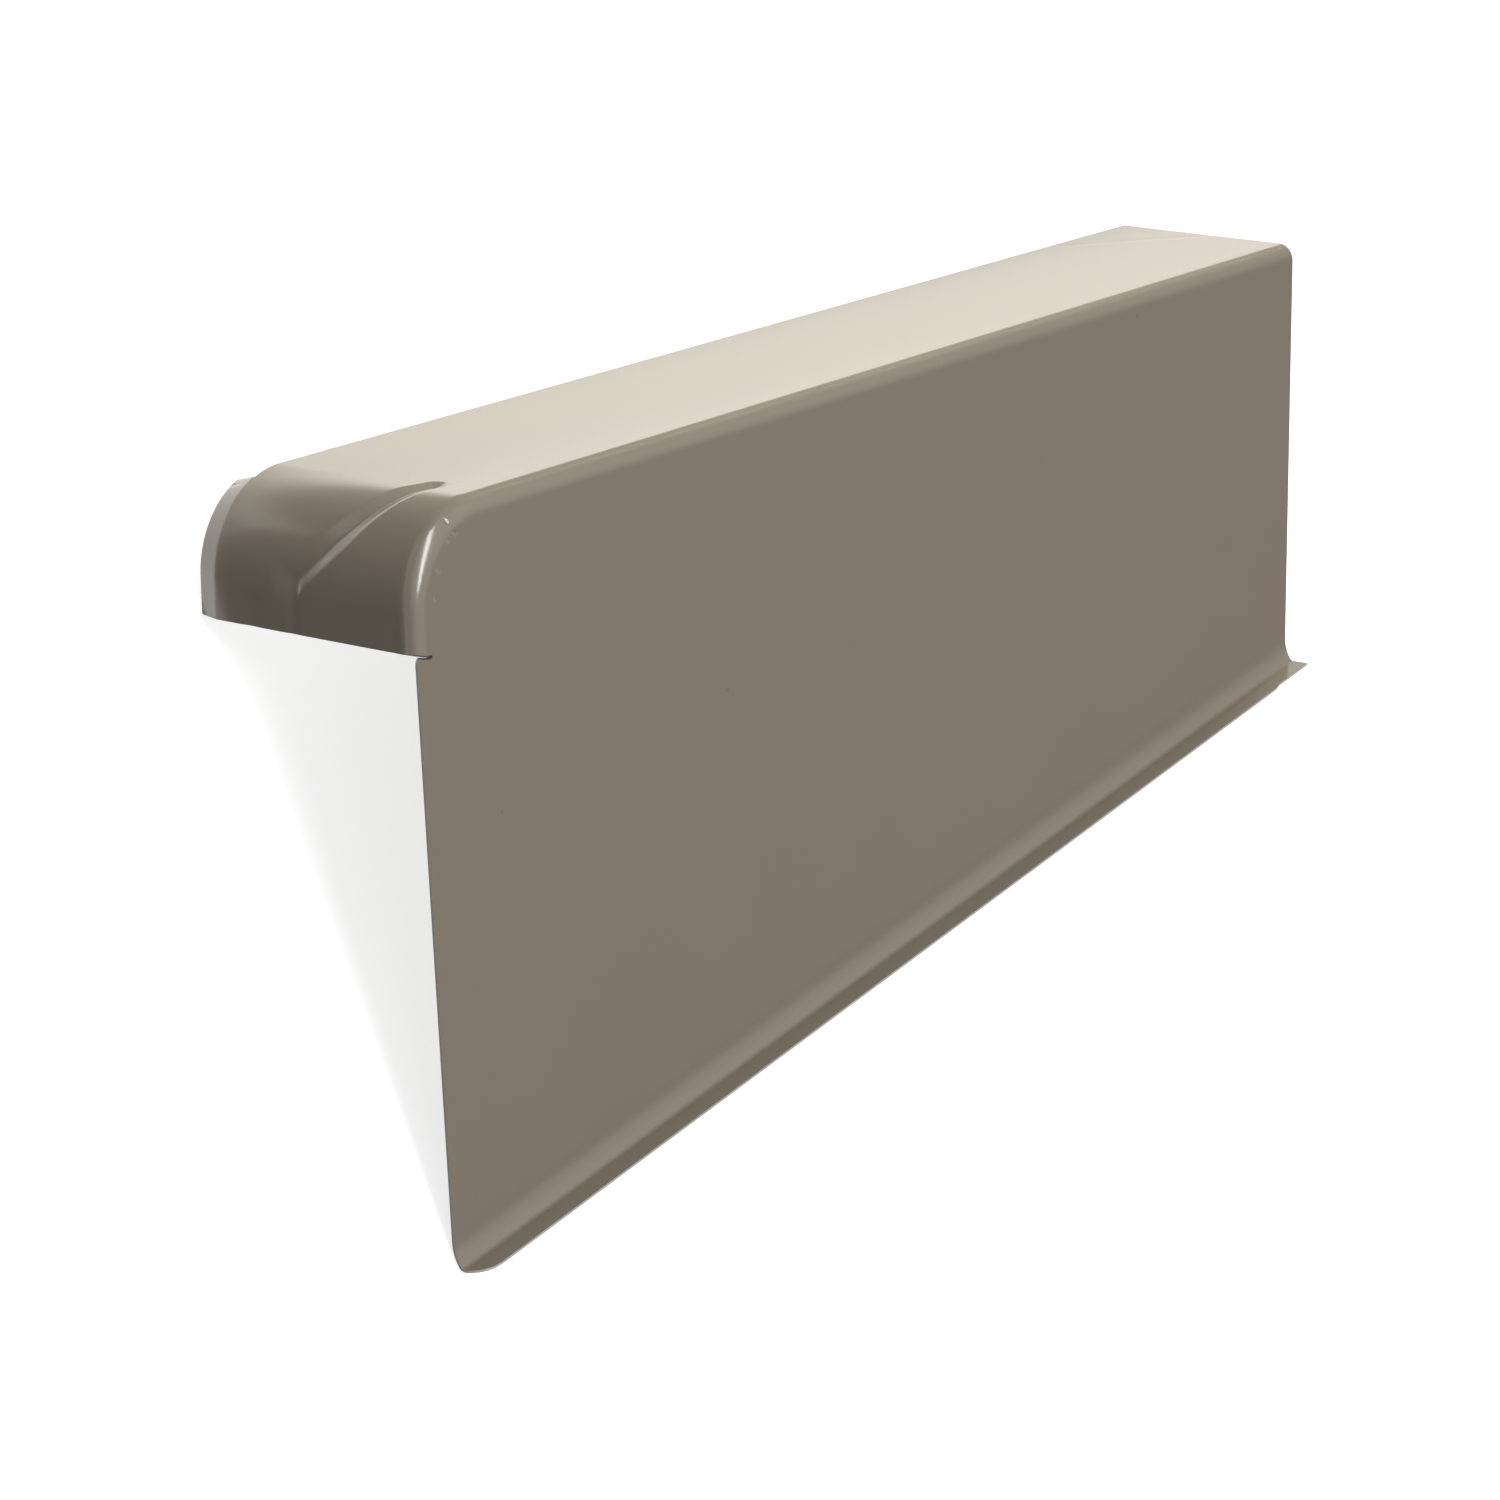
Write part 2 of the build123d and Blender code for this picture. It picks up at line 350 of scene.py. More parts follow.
class Lip:
    """The lip's slanting line: s runs along it and v up the web, from the web's front foot."""

    def __init__(self, size):
        self.size = size
        run = size.length - size.edge_foot
        rise = size.web_nose_depth - size.web_tail_depth
        self.length = hypot(run, rise)
        self.along = Vector((run, 0, rise)) / self.length
        self.up = Vector((-rise, 0, run)) / self.length
        self.start = Vector((size.edge_foot, 0, -size.web_nose_depth))

    def front(self, y, v):
        """Where the front edge stands, on the web, the bend or the lip's rounded end."""
        size = self.size
        lean = edge_lean(size)
        rise = self.along.z / self.along.x
        edge = v * (rise - lean) / (1 + rise * lean)
        past = -y - (size.lip_width - size.lip_end)
        if past <= 0:
            return edge
        return max(edge, size.lip_end - sqrt(max(0.0, size.lip_end**2 - past**2)))

    def tail(self, v):
        """Where the tail's plane cuts the line at height v."""
        return (self.size.length - self.start.x - v * self.up.x) / self.along.x

    def point(self, share, y, v):
        """A point between the front edge, 0, and the tail, 1."""
        s = self.front(y, v) + share * (self.tail(v) - self.front(y, v))
        return self.start + self.along * s + Vector((0, y, 0)) + self.up * v

    def bend(self):
        """The bend in section, (y, v): a wide roll out of the web, then a tight turn."""
        roll, tight, angle = self.size.lip_roll, self.size.lip_bend, self.size.lip_roll_angle
        height = roll * sin(angle) + tight * (1 - sin(angle))
        turn = spread(0, angle, angle / ROLL_PARTS)
        wide = [(-roll * (1 - cos(a)), height - roll * sin(a)) for a in turn]
        end = wide[-1][0] - tight * cos(angle)
        rest = spread(angle, pi / 2, (pi / 2 - angle) / TURN_PARTS)
        return wide + [(end + tight * cos(a), tight - tight * sin(a)) for a in rest[1:]]

    def rows(self):
        """The bend under the flat web, then the lip, narrower over its last stretch."""
        size = self.size
        bend = self.bend()
        inner = -bend[-1][0]
        straight = self.tail(0) - size.lip_end
        narrow = (self.length - size.lip_step_length - size.lip_end) / straight
        slant = size.lip_step_slant / straight
        full = narrow - slant
        shares = joined(LIP_FRONT, spread(LIP_STEP, full, LIP_STEP), [full, narrow, 1])
        rows = [[self.point(share, 0, bend[0][1] + SUPPORT) for share in shares]]
        for y, v in bend:
            rows.append([self.point(share, y, v) for share in shares])
        flat = size.lip_width - inner
        reaches = joined([0, SUPPORT / flat], spread(0.09, 1, LIP_ACROSS))
        for reach in reaches[1:]:
            row = []
            for share in shares:
                narrower = size.lip_step * min(1.0, max(0.0, (share - full) / slant))
                row.append(self.point(share, -inner - reach * (flat - narrower), 0))
            rows.append(row)
        return rows


def web_face(size, line, steps, lip_top):
    """The outline of the flat web, from the slit round to the slit again."""
    slit_end = size.edge_top + size.slit_length
    outline = [Vector((slit_end, 0, -size.nose_depth - size.corner_dip))]
    for run in steps:
        outline.append(line.point(drawn_down(size, line, run, pi / 2), 0, size.bend + SUPPORT))
    outline += lip_top[::-1]
    outline += web_corner(size)
    outline += [Vector((x, 0, slit_foot(size, x))) for x in (size.bend, slit_end)]
    return outline


def skin_mesh(size):
    """The sheet's outer face, before it is pressed and given its thickness."""
    line, lip = Profile(size), Lip(size)
    steps = profile_steps(size, line)
    skin = Skin()
    skin.grid(crown_rows(size, line, steps))
    skin.grid(return_rows(size, line, steps))
    lip_rows = lip.rows()
    skin.grid(lip_rows)
    skin.flat(web_face(size, line, steps, lip_rows[0]))
    mesh = skin.mesh(PIECE + "_skin")
    shell = bmesh.new()
    shell.from_mesh(mesh)
    bmesh.ops.recalc_face_normals(shell, faces=shell.faces)
    web = max(shell.faces, key=lambda face: face.calc_area())
    if web.normal.y > 0:
        bmesh.ops.reverse_faces(shell, faces=shell.faces)
    shell.to_mesh(mesh)
    shell.free()
    return mesh


# The press: beads that follow a path, then the sheet's thickness


def new_tree(name, inputs):
    """A node tree with a geometry input and output and the given named inputs."""
    tree = bpy.data.node_groups.new(name, "GeometryNodeTree")
    face = tree.interface
    face.new_socket("Geometry", in_out="INPUT", socket_type="NodeSocketGeometry")
    for label, kind in inputs:
        face.new_socket(label, in_out="INPUT", socket_type=kind)
    face.new_socket("Geometry", in_out="OUTPUT", socket_type="NodeSocketGeometry")
    return tree, tree.nodes.new("NodeGroupInput"), tree.nodes.new("NodeGroupOutput")


def feed(tree, socket, value):
    """Gives a socket a value of its own, or another node's output."""
    if isinstance(value, bpy.types.NodeSocket):
        tree.links.new(value, socket)
    else:
        socket.default_value = value


def calculate(tree, operation, *values):
    """A maths node; each value is a number or another node's output."""
    node = tree.nodes.new("ShaderNodeMath")
    node.operation = operation
    for socket, value in zip(node.inputs, values):
        feed(tree, socket, value)
    return node.outputs[0]


def ramp(tree, value, low, high, start=0.0, end=1.0, smooth=False):
    """A value that goes from start to end while another goes from low to high."""
    node = tree.nodes.new("ShaderNodeMapRange")
    if smooth:
        node.interpolation_type = "SMOOTHSTEP"
    for label, given in zip(
            ("Value", "From Min", "From Max", "To Min", "To Max"), (value, low, high, start, end)):
        feed(tree, node.inputs[label], given)
    return node.outputs["Result"]


def axes_of(tree, vector):
    """The three parts of a place, by their names."""
    node = tree.nodes.new("ShaderNodeSeparateXYZ")
    tree.links.new(vector, node.inputs["Vector"])
    return node.outputs


SIDE_TURN = 0.8     # how far aside of a bead's path its wall is wholly the one or the other


def bead_tree():
    """Presses a bead with sloping walls, a rounded bottom and soft rims along a path."""
    tree, start, end = new_tree("press_bead", (
        ("Path", "NodeSocketObject"),
        ("Depth", "NodeSocketFloat"),
        ("Near wall", "NodeSocketFloat"),
        ("Far wall", "NodeSocketFloat"),
        ("Foot wall", "NodeSocketFloat"),
        ("Foot height", "NodeSocketFloat"),
        ("Bottom", "NodeSocketFloat"),
        ("Softness", "NodeSocketFloat"),
    ))
    nodes, link, given = tree.nodes, tree.links.new, start.outputs
    path = nodes.new("GeometryNodeObjectInfo")
    line = nodes.new("GeometryNodeCurveToMesh")
    near = nodes.new("GeometryNodeProximity")
    near.target_element = "EDGES"
    place = nodes.new("GeometryNodeInputPosition")
    offset = nodes.new("ShaderNodeVectorMath")
    offset.operation = "SUBTRACT"
    normal = nodes.new("GeometryNodeInputNormal")
    push = nodes.new("ShaderNodeVectorMath")
    push.operation = "SCALE"
    move = nodes.new("GeometryNodeSetPosition")
    link(given["Path"], path.inputs["Object"])
    link(path.outputs["Geometry"], line.inputs["Curve"])
    link(line.outputs["Mesh"], near.inputs[0])
    link(place.outputs["Position"], offset.inputs[0])
    link(near.outputs["Position"], offset.inputs[1])

    # The bottom is a hyperbola, so that it is rounded and its walls end straight
    squares = calculate(
        tree, "ADD", calculate(tree, "POWER", near.outputs["Distance"], 2.0),
        calculate(tree, "POWER", given["Bottom"], 2.0))
    rise = calculate(tree, "SUBTRACT", calculate(tree, "SQRT", squares), given["Bottom"])

    # The far wall widens down to the foot, and the near one stays
    height = axes_of(tree, place.outputs["Position"])["Z"]
    far_wall = ramp(tree, height, 0.0, given["Foot height"], given["Far wall"], given["Foot wall"])
    beside = axes_of(tree, offset.outputs["Vector"])["Y"]
    aside = calculate(tree, "DIVIDE", beside, near.outputs["Distance"])
    wall = ramp(tree, aside, -SIDE_TURN, SIDE_TURN, given["Near wall"], far_wall)
    slope = calculate(tree, "DIVIDE", given["Depth"], wall)
    sunk = calculate(tree, "SUBTRACT", given["Depth"], calculate(tree, "MULTIPLY", rise, slope))
    soft = calculate(tree, "SMOOTH_MAX", sunk, 0.0, given["Softness"])
    link(normal.outputs["Normal"], push.inputs[0])
    link(calculate(tree, "MULTIPLY", soft, -1.0), push.inputs["Scale"])
    link(push.outputs["Vector"], move.inputs["Offset"])
    link(given["Geometry"], move.inputs["Geometry"])
    link(move.outputs["Geometry"], end.inputs["Geometry"])
    return tree


def keep(tree, geometry, name, kind, domain, value):
    """Keeps a value on the geometry under a name, and gives the geometry on."""
    node = tree.nodes.new("GeometryNodeStoreNamedAttribute")
    node.data_type = kind
    node.domain = domain
    node.inputs["Name"].default_value = name
    tree.links.new(geometry, node.inputs["Geometry"])
    tree.links.new(value, node.inputs["Value"])
    return node.outputs["Geometry"]


def sheet_tree():
    """Gives the skin the sheet's thickness, marks its cut edges and sets its material."""
    tree, start, end = new_tree("sheet_thickness", (
        ("Thickness", "NodeSocketFloat"),
        ("Edge angle", "NodeSocketFloat"),
        ("Material", "NodeSocketMaterial"),
    ))
    nodes, link, given = tree.nodes, tree.links.new, start.outputs
    place = nodes.new("GeometryNodeInputPosition")
    extrude = nodes.new("GeometryNodeExtrudeMesh")
    extrude.mode = "FACES"
    extrude.inputs["Individual"].default_value = False
    flip = nodes.new("GeometryNodeFlipFaces")
    both = nodes.new("GeometryNodeJoinGeometry")
    weld = nodes.new("GeometryNodeMergeByDistance")
    weld.inputs["Distance"].default_value = HAIR
    angle = nodes.new("GeometryNodeInputMeshEdgeAngle")
    sharp = nodes.new("FunctionNodeCompare")
    sharp.data_type = "FLOAT"
    sharp.operation = "GREATER_THAN"
    smooth = nodes.new("GeometryNodeSetShadeSmooth")
    smooth.inputs["Shade Smooth"].default_value = True
    real = nodes.new("GeometryNodeRealizeInstances")
    paint = nodes.new("GeometryNodeSetMaterial")
    link(given["Geometry"], extrude.inputs["Mesh"])
    link(calculate(tree, "MULTIPLY", given["Thickness"], -1.0), extrude.inputs["Offset Scale"])
    inner = keep(
        tree, extrude.outputs["Mesh"], "cut_edge", "FLOAT", "FACE", extrude.outputs["Side"])
    link(inner, flip.inputs["Mesh"])
    link(given["Geometry"], both.inputs["Geometry"])
    link(flip.outputs["Mesh"], both.inputs["Geometry"])
    link(both.outputs["Geometry"], weld.inputs["Geometry"])
    link(weld.outputs["Geometry"], smooth.inputs["Geometry"])
    link(angle.outputs["Unsigned Angle"], sharp.inputs["A"])
    link(given["Edge angle"], sharp.inputs["B"])
    marked = keep(
        tree, smooth.outputs["Geometry"], "sharp_edge", "BOOLEAN", "EDGE", sharp.outputs["Result"])
    placed = keep(
        tree, marked, "roof_place", "FLOAT_VECTOR", "POINT", place.outputs["Position"])
    link(placed, real.inputs["Geometry"])
    link(real.outputs["Geometry"], paint.inputs["Geometry"])
    link(given["Material"], paint.inputs["Material"])
    link(paint.outputs["Geometry"], end.inputs["Geometry"])
    return tree


def add_nodes(piece, tree, **values):
    """Adds a tree to a piece as a modifier, with its inputs set by their identifiers."""
    modifier = piece.modifiers.new(tree.name, "NODES")
    modifier.node_group = tree
    for item in tree.interface.items_tree:
        label = item.name.lower().replace(" ", "_")
        if item.in_out == "INPUT" and label in values:
            modifier[item.identifier] = values[label]


def path_on_skin(name, line, places):
    """A smooth curve through (run, across) places on the nose and flange."""
    curve = bpy.data.curves.new(name, "CURVE")
    curve.dimensions = "3D"
    curve.resolution_u = 6
    spline = curve.splines.new("NURBS")
    spline.points.add(len(places) - 1)
    for point, (run, across) in zip(spline.points, places):
        point.co = (*line.point(run, across, 0.0), 1.0)
    spline.order_u = 3
    spline.use_endpoint_u = True
    path = bpy.data.objects.new(name, curve)
    bpy.context.scene.collection.objects.link(path)
    return path


def settle(piece):
    """Turns a piece's modifiers into a plain mesh."""
    graph = bpy.context.evaluated_depsgraph_get()
    mesh = bpy.data.meshes.new_from_object(piece.evaluated_get(graph), depsgraph=graph)
    old = piece.data
    piece.modifiers.clear()
    piece.data = mesh
    bpy.data.meshes.remove(old)
    mesh.name = piece.name


BEAD_START = 0.04        # share of the route before the bead's rounded end
BEAD_POINTS = 20         # points on the whole route
RUNOUT_SHARES = (0.6, 0.3)      # how far up the nose face the run-out's middle points lie


def bead_route(size, line):
    """The bottom of the slanting bead, from the flange over the shoulder, as one smooth curve."""
    top = line.flange + size.bead_top_past
    foot = line.face + size.bead_foot_above
    span = top - foot
    places = []
    for share in spread(BEAD_START, 1, 1 / BEAD_POINTS):
        rest = 1 - share
        across = size.bead_top_across * (1 + 2 * share) * rest**2
        across += size.bead_foot_across * (3 - 2 * share) * share**2
        across += span * size.bead_top_slant * share * rest**2
        across -= span * size.bead_foot_slant * rest * share**2
        places.append((top - span * share, across))
    return places


def runout_route(size, line):
    """The faint run-out from the bead's foot down over the nose's lower edge."""
    foot = line.face + size.bead_foot_above
    middle = [(foot * share, size.runout_across) for share in RUNOUT_SHARES]
    end = (-size.bead_near_wall, size.runout_across)
    return [(foot, size.bead_foot_across), *middle, end]


# Small dints of the press and of handling, each a path of (run, across) with its depth
# and the width of its walls, all in millimetres
DINTS = (
    ("tail_crease", ((412, 60.5), (430, 49.3), (447, 35.5), (454, 30)), 0.05, 2.2),
    ("far_foot_dint", ((-1, 54.0), (6, 53.4)), 0.28, 2.4),
    ("near_foot_dint", ((-1, 7.4), (4, 7.0)), 0.10, 2.0),
)

# Marks on the web, each by its place along and up the roof frame and its radius, in
# millimetres: dark specks in the coating, and dimples that the press left near the corner
SPECKS = ((338.2, -7.1, 1.1), (130.6, -74.8, 0.8), (32.6, -84.5, 0.8))
DIMPLES = ((16.6, -7.8, 1.4), (13.9, -9.2, 0.9), (14.7, -4.6, 1.1), (10.0, -16.1, 1.1),
           (8.5, -23.2, 0.9))
DIMPLE_DEPTH = 0.3 * MM

# The coating: how much its shade and its roughness vary, the size of the patches, and the
# faint orange peel
SHADES = (0.97, 1.03)
ROUGHNESS = (0.17, 0.21)
PATCHES = 22.0
PEEL = 700.0
PEEL_DEPTH = 0.2 * MM
PEEL_STRENGTH = 0.05

# Shares of the coating's colour in a speck and in the slit's painted shade, and a speck's strength
SPECK_SHADE = 0.45
SPECK_STRENGTH = 0.5
SLIT_PAINTED_SHADE = 0.2

# The slit's dark line, painted shade: half its height, where it starts to fade and where it is
# gone
SLIT_DARK = 0.35 * MM
SLIT_FADED = 0.6 * MM
SLIT_END_FADE = 0.3 * MM

# The cut edge: how metallic and how rough its bare zinc is
CUT_METAL = 0.25
CUT_ROUGHNESS = 0.45


def spots(tree, axes, places):
    """Rises from 0 to 1 within each (x, z, radius) place on the web, given in millimetres."""
    total = 0.0
    for x, z, radius in places:
        along = calculate(tree, "SUBTRACT", axes["X"], x * MM)
        above = calculate(tree, "SUBTRACT", axes["Z"], z * MM)
        squares = calculate(
            tree, "ADD", calculate(tree, "POWER", along, 2.0),
            calculate(tree, "POWER", above, 2.0))
        spot = ramp(tree, calculate(tree, "SQRT", squares), radius * MM, 0.0, smooth=True)
        total = calculate(tree, "ADD", spot, total)
    return total


def slit_painted_shade(tree, axes, size):
    """1 in the relief slit's dark line of painted shade and on its two edges, 0 elsewhere."""
    dip = calculate(tree, "MINIMUM", calculate(tree, "DIVIDE", axes["X"], size.bend), 1.0)
    dip = calculate(tree, "MULTIPLY", dip, size.corner_dip)
    height = calculate(tree, "ADD", axes["Z"], size.nose_depth + size.slit_gap / 2)
    height = calculate(tree, "ABSOLUTE", calculate(tree, "ADD", height, dip))
    half = size.slit_length / 2
    along = calculate(
        tree, "ABSOLUTE", calculate(tree, "SUBTRACT", axes["X"], size.edge_top + half))
    dark = calculate(
        tree, "MULTIPLY", ramp(tree, height, SLIT_FADED, SLIT_DARK),
        ramp(tree, along, half + SLIT_END_FADE, half))
    web_only = calculate(tree, "LESS_THAN", axes["Y"], size.bend / 3)
    return calculate(tree, "MULTIPLY", dark, web_only)


def mix(tree, kind, share, first, second):
    """The first number or colour where the share is 0, and the second where it is 1."""
    node = tree.nodes.new("ShaderNodeMix")
    node.data_type = kind
    for label, value in (("Factor", share), ("A", first), ("B", second)):
        feed(tree, node.inputs[label], value)
    return node.outputs["Result"]


def noise(tree, place, scale, detail):
    """A noise pattern over the piece."""
    node = tree.nodes.new("ShaderNodeTexNoise")
    node.inputs["Scale"].default_value = scale
    node.inputs["Detail"].default_value = detail
    tree.links.new(place, node.inputs["Vector"])
    return node.outputs["Fac"]


def attribute(tree, name):
    """A node that reads what the press kept on the mesh."""
    node = tree.nodes.new("ShaderNodeAttribute")
    node.attribute_name = name
    return node.outputs


def coating_material(looks, size):
    """Smooth coil coating: nearly even taupe with a satin gloss and a faint orange peel."""
    material = bpy.data.materials.new("coated_sheet")
    material.use_nodes = True
    tree = material.node_tree
    nodes, link = tree.nodes, tree.links.new
    surface = nodes["Principled BSDF"].inputs
    place = nodes.new("ShaderNodeTexCoord").outputs["Object"]
    cut = attribute(tree, "cut_edge")["Fac"]
    axes = axes_of(tree, attribute(tree, "roof_place")["Vector"])
    patches = noise(tree, place, PATCHES, 3.0)

    def coat(share):
        return (*(Vector(looks.coating) * share), 1)

    colour = mix(tree, "RGBA", patches, coat(SHADES[0]), coat(SHADES[1]))
    speck = calculate(tree, "MULTIPLY", spots(tree, axes, SPECKS), SPECK_STRENGTH)
    colour = mix(tree, "RGBA", speck, colour, coat(SPECK_SHADE))
    colour = mix(tree, "RGBA", cut, colour, (*looks.cut_edge, 1))
    # painted shade: the relief slit and its edges are darkened towards a dark share of the coating
    colour = mix(tree, "RGBA", slit_painted_shade(tree, axes, size), colour, coat(SLIT_PAINTED_SHADE))
    rough = ramp(tree, patches, 0.0, 1.0, *ROUGHNESS)
    link(colour, surface["Base Color"])
    link(mix(tree, "FLOAT", cut, rough, CUT_ROUGHNESS), surface["Roughness"])
    link(calculate(tree, "MULTIPLY", cut, CUT_METAL), surface["Metallic"])
    pressed = nodes.new("ShaderNodeBump")
    pressed.invert = True
    pressed.inputs["Strength"].default_value = 1.0
    pressed.inputs["Distance"].default_value = DIMPLE_DEPTH
    peel = nodes.new("ShaderNodeBump")
    peel.inputs["Strength"].default_value = PEEL_STRENGTH
    peel.inputs["Distance"].default_value = PEEL_DEPTH
    link(spots(tree, axes, DIMPLES), pressed.inputs["Height"])
    link(noise(tree, place, PEEL, 2.0), peel.inputs["Height"])
    link(pressed.outputs["Normal"], peel.inputs["Normal"])
    link(peel.outputs["Normal"], surface["Normal"])
    return material


# The bottom and the rims of the bead and of its run-out, which has two walls alike
BEAD_BOTTOM = 0.4 * MM
BEAD_SOFTNESS = 0.3 * MM
RUNOUT_WALL = 2.0 * MM
RUNOUT_BOTTOM = 0.6 * MM
RUNOUT_SOFTNESS = 0.1 * MM
SHARP_EDGE = radians(35)


class FLASHING_OT_sheet(bpy.types.Operator):
    """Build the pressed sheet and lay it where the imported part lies"""

    bl_idname = "flashing.sheet"
    bl_label = "Pressed sheet"

    def execute(self, context):
        size, looks = context.scene.flashing_sizes, context.scene.flashing_looks
        line = Profile(size)
        material = coating_material(looks, size)
        piece = bpy.data.objects.new(PIECE, skin_mesh(size))
        piece.data.materials.append(material)
        context.scene.collection.objects.link(piece)
        press = bead_tree()
        foot_height = size.bead_foot_above + line.face - size.nose_depth
        paths = []

        def press_in(name, places, depth, walls, bottom, softness):
            near, far, foot = walls
            paths.append(path_on_skin(name, line, places))
            add_nodes(piece, press, path=paths[-1], depth=depth, near_wall=near, far_wall=far,
                      foot_wall=foot, foot_height=foot_height, bottom=bottom, softness=softness)

        walls = (size.bead_near_wall, size.bead_far_wall, size.bead_foot_wall)
        press_in("bead", bead_route(size, line), size.bead_depth, walls,
                 BEAD_BOTTOM, BEAD_SOFTNESS)
        press_in("runout", runout_route(size, line), size.runout_depth, (RUNOUT_WALL,) * 3,
                 RUNOUT_BOTTOM, RUNOUT_SOFTNESS)
        for name, places, depth, wall in DINTS:
            places = [(run * MM, across * MM) for run, across in places]
            press_in(name, places, depth * MM, (wall * MM,) * 3, wall / 2 * MM, depth / 2 * MM)
        add_nodes(
            piece, sheet_tree(), thickness=size.sheet, edge_angle=SHARP_EDGE, material=material)
        settle(piece)
        for path in paths:
            bpy.data.objects.remove(path)
        piece.data.transform(roof_frame(size))
        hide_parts(NODE)
        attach(piece, "root")
        return {"FINISHED"}


# The studio


# The photograph's view, in the roof frame: where the camera stands, how far it looks round
# from the web's normal, down, and rolled, and its lens
CAMERA_PLACE = Vector((-0.9335, -0.7860, 0.2945))
CAMERA_YAW = radians(53.799)
CAMERA_PITCH = radians(16.275)
CAMERA_ROLL = radians(-0.616)
CAMERA_LENS = 121.92


def camera_view():
    """The camera's place and turn in the roof frame."""
    turn = Matrix.Rotation(-CAMERA_YAW, 4, "Z")
    down = Matrix.Rotation(radians(90) - CAMERA_PITCH, 4, "X")
    roll = Matrix.Rotation(CAMERA_ROLL, 4, "Z")
    return Matrix.Translation(CAMERA_PLACE) @ turn @ down @ roll


FLOOR_HALF = 6.0

# What the camera sees of the floor: a grey that takes shadows, lifted to white
FLOOR_GREY = 0.45
FLOOR_LIFT = 0.76

# What the coating mirrors in the floor: a painted pool of warm light that glows for reflections
# only. Each ramp has two places in metres and its levels there: across at the pool's far side
# and near side, and along at the nose, where the pool's end is slanted
POOL_COLOUR = (1.0, 0.97, 0.9, 1)
POOL_FAR = (0.175, 0.212, 2.0, 0.06)
POOL_NEAR = (0.137, 0.160, 0.65, 1.0)
POOL_NOSE = (-0.207, -0.191)
POOL_SLANT = 0.35
POOL_LEAST = 0.1

# What lights the piece from the sky, and what the coating mirrors there: a backdrop that
# brightens with height, and a low glow beyond the nose. Each ramp has two values of the
# direction's height or side, and its levels there
SKY = 0.5
BACKDROP = (0.45, 0.75, 0.3, 1.3)
GLOW = (0.10, 0.26, 0.8, 0.0)
GLOW_SIDE = (-0.25, -0.5)


def floor_material(looks):
    """A pale floor that keeps shadows; reflections see on it a painted pool of light, under and
    behind the piece and ending at its nose."""
    material = bpy.data.materials.new("studio_floor")
    material.use_nodes = True
    tree = material.node_tree
    nodes, link = tree.nodes, tree.links.new
    nodes.clear()
    out = nodes.new("ShaderNodeOutputMaterial")
    dull = nodes.new("ShaderNodeBsdfDiffuse")
    dull.inputs["Color"].default_value = (*looks.floor, 1)
    grey = nodes.new("ShaderNodeBsdfDiffuse")
    grey.inputs["Color"].default_value = (FLOOR_GREY, FLOOR_GREY, FLOOR_GREY, 1)
    lift = nodes.new("ShaderNodeEmission")
    lift.inputs["Strength"].default_value = FLOOR_LIFT
    seen = nodes.new("ShaderNodeAddShader")
    # painted light: the floor glows for reflections only, brightest under and behind the piece
    sheet = nodes.new("ShaderNodeEmission")
    sheet.inputs["Color"].default_value = POOL_COLOUR
    rays = nodes.new("ShaderNodeLightPath")
    mirrored = nodes.new("ShaderNodeMixShader")
    whole = nodes.new("ShaderNodeMixShader")
    axes = axes_of(tree, nodes.new("ShaderNodeTexCoord").outputs["Object"])
    across = ramp(tree, axes["Y"], *POOL_FAR, smooth=True)
    across = calculate(
        tree, "MULTIPLY", across, ramp(tree, axes["Y"], *POOL_NEAR, smooth=True))
    slant = calculate(tree, "MULTIPLY", axes["Y"], POOL_SLANT)
    along = ramp(tree, calculate(tree, "ADD", axes["X"], slant), *POOL_NOSE, smooth=True)
    lit = calculate(tree, "MULTIPLY", across, along)
    link(calculate(tree, "MAXIMUM", lit, POOL_LEAST), sheet.inputs["Strength"])
    link(grey.outputs[0], seen.inputs[0])
    link(lift.outputs[0], seen.inputs[1])
    link(rays.outputs["Is Glossy Ray"], mirrored.inputs["Fac"])
    link(dull.outputs[0], mirrored.inputs[1])
    link(sheet.outputs[0], mirrored.inputs[2])
    link(rays.outputs["Is Camera Ray"], whole.inputs["Fac"])
    link(mirrored.outputs[0], whole.inputs[1])
    link(seen.outputs[0], whole.inputs[2])
    link(whole.outputs[0], out.inputs["Surface"])
    return material


def world_light():
    """A dim sky; the camera sees white in its place, and reflections a pale backdrop."""
    world = bpy.data.worlds.new("studio")
    world.use_nodes = True
    world.cycles.sampling_method = "NONE"
    tree = world.node_tree
    back = tree.nodes["Background"]
    back.inputs["Color"].default_value = (1, 1, 1, 1)
    axes = axes_of(tree, tree.nodes.new("ShaderNodeTexCoord").outputs["Generated"])
    rays = tree.nodes.new("ShaderNodeLightPath").outputs
    glow = calculate(
        tree, "MULTIPLY", ramp(tree, axes["Z"], *GLOW), ramp(tree, axes["X"], *GLOW_SIDE))
    backdrop = calculate(tree, "ADD", ramp(tree, axes["Z"], *BACKDROP), glow)
    shiny = calculate(tree, "MAXIMUM", rays["Is Glossy Ray"], rays["Is Transmission Ray"])
    level = mix(tree, "FLOAT", shiny, SKY, backdrop)
    level = mix(tree, "FLOAT", rays["Is Camera Ray"], level, 1.0)
    tree.links.new(level, back.inputs["Strength"])
    bpy.context.scene.world = world


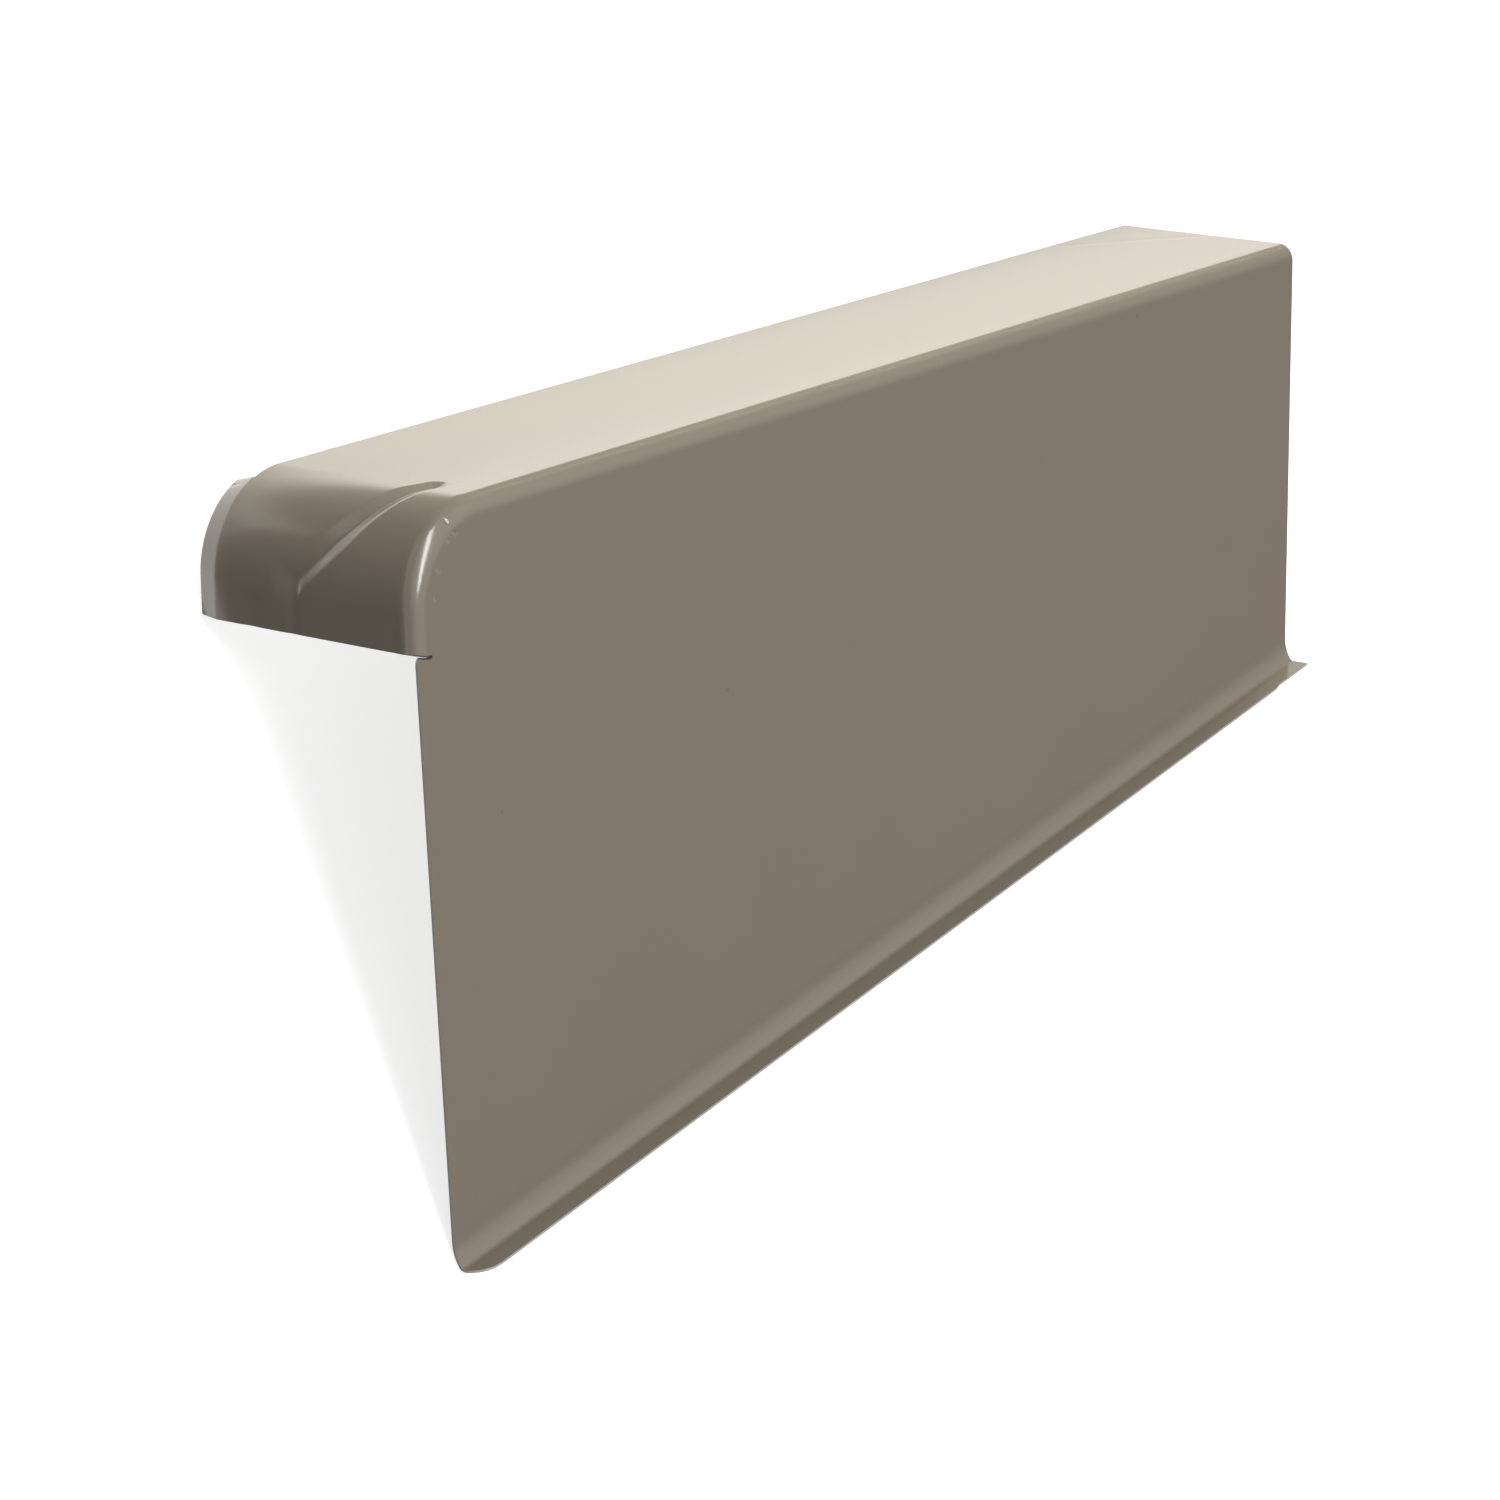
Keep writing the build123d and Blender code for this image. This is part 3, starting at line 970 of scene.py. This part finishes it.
# Soft lamps: place and aim, width and depth, in metres, watts, and whether the lamp lights
# the piece and whether the coating mirrors it
LAMPS = (
    ("overhead", (-0.17, -0.2, 2.6), (0, 0, 0), 1.0, 1.0, 60.0, True, False),
    ("light_strip", (-0.85, 1.05, 2.6), (-0.85, 1.05, 0), 0.7, 3.9, 135.0, False, True),
    ("behind_flange", (0, 2.34, 1.14), (0, 0, 0), 1.0, 1.5, 31.0, True, False),
    ("along_flange", (2.70, 1.69, 0.28), (0, 0, 0), 1.4, 0.5, 126.0, True, False),
    ("light_table", (0.06, 0.29, 0.003), (0.06, 0.29, 1), 0.5, 0.32, 2.5, True, False),
    ("nose_card", (-0.205, 0.085, 0.002), (-0.205, 0.085, 1), 0.04, 0.09, 0.010, False, True),
)


def softbox(name, place, aim, width, depth, watts, lights, mirrored):
    """One soft area lamp."""
    data = bpy.data.lights.new(name, "AREA")
    data.shape = "RECTANGLE"
    data.size = width
    data.size_y = depth
    data.energy = watts
    lamp = bpy.data.objects.new(name, data)
    bpy.context.scene.collection.objects.link(lamp)
    lamp.location = place
    lamp.rotation_mode = "QUATERNION"
    lamp.rotation_quaternion = (Vector(aim) - Vector(place)).to_track_quat("-Z", "Y")
    lamp.visible_camera = False
    lamp.visible_diffuse = lights
    lamp.visible_glossy = mirrored


class FLASHING_OT_studio(bpy.types.Operator):
    """Set up the floor, the soft lamps and the camera"""

    bl_idname = "flashing.studio"
    bl_label = "Floor, lamps and camera"

    def execute(self, context):
        scene = context.scene
        half = FLOOR_HALF
        mesh = bpy.data.meshes.new("studio_floor")
        corners = [(-half, -half, 0), (half, -half, 0), (half, half, 0), (-half, half, 0)]
        mesh.from_pydata(corners, [], [(0, 1, 2, 3)])
        mesh.materials.append(floor_material(scene.flashing_looks))
        floor = bpy.data.objects.new("studio_floor", mesh)
        scene.collection.objects.link(floor)
        world_light()
        for lamp in LAMPS:
            softbox(*lamp)
        data = bpy.data.cameras.new("camera")
        data.lens = CAMERA_LENS
        data.clip_start = 0.01
        data.clip_end = 50.0
        camera = bpy.data.objects.new("camera", data)
        scene.collection.objects.link(camera)
        camera.matrix_world = roof_frame(scene.flashing_sizes) @ camera_view()
        scene.camera = camera
        scene.view_settings.view_transform = "Standard"
        return {"FINISHED"}


class FLASHING_PT_panel(bpy.types.Panel):
    """Lists the steps that build the flashing, and its sizes"""

    bl_idname = "FLASHING_PT_panel"
    bl_label = "Verge flashing"
    bl_space_type = "VIEW_3D"
    bl_region_type = "UI"
    bl_category = "Flashing"

    def draw(self, context):
        for step in STEPS:
            self.layout.operator(step.bl_idname)
        for group in (context.scene.flashing_sizes, context.scene.flashing_looks):
            box = self.layout.box()
            for name in group.__annotations__:
                box.prop(group, name)


STEPS = (FLASHING_OT_sheet, FLASHING_OT_studio)
CLASSES = (FlashingSizes, FlashingLooks, *STEPS, FLASHING_PT_panel)


def register():
    """Makes the classes known, and gives each scene its sizes and colours."""
    for cls in CLASSES:
        bpy.utils.register_class(cls)
    bpy.types.Scene.flashing_sizes = bpy.props.PointerProperty(type=FlashingSizes)
    bpy.types.Scene.flashing_looks = bpy.props.PointerProperty(type=FlashingLooks)


def unregister():
    """Takes the sizes, the colours and the classes away again."""
    del bpy.types.Scene.flashing_looks
    del bpy.types.Scene.flashing_sizes
    for cls in reversed(CLASSES):
        bpy.utils.unregister_class(cls)


def main():
    """Builds the flashing and its studio."""
    register()
    bpy.ops.flashing.sheet()
    bpy.ops.flashing.studio()


if __name__ == "__main__":
    main()
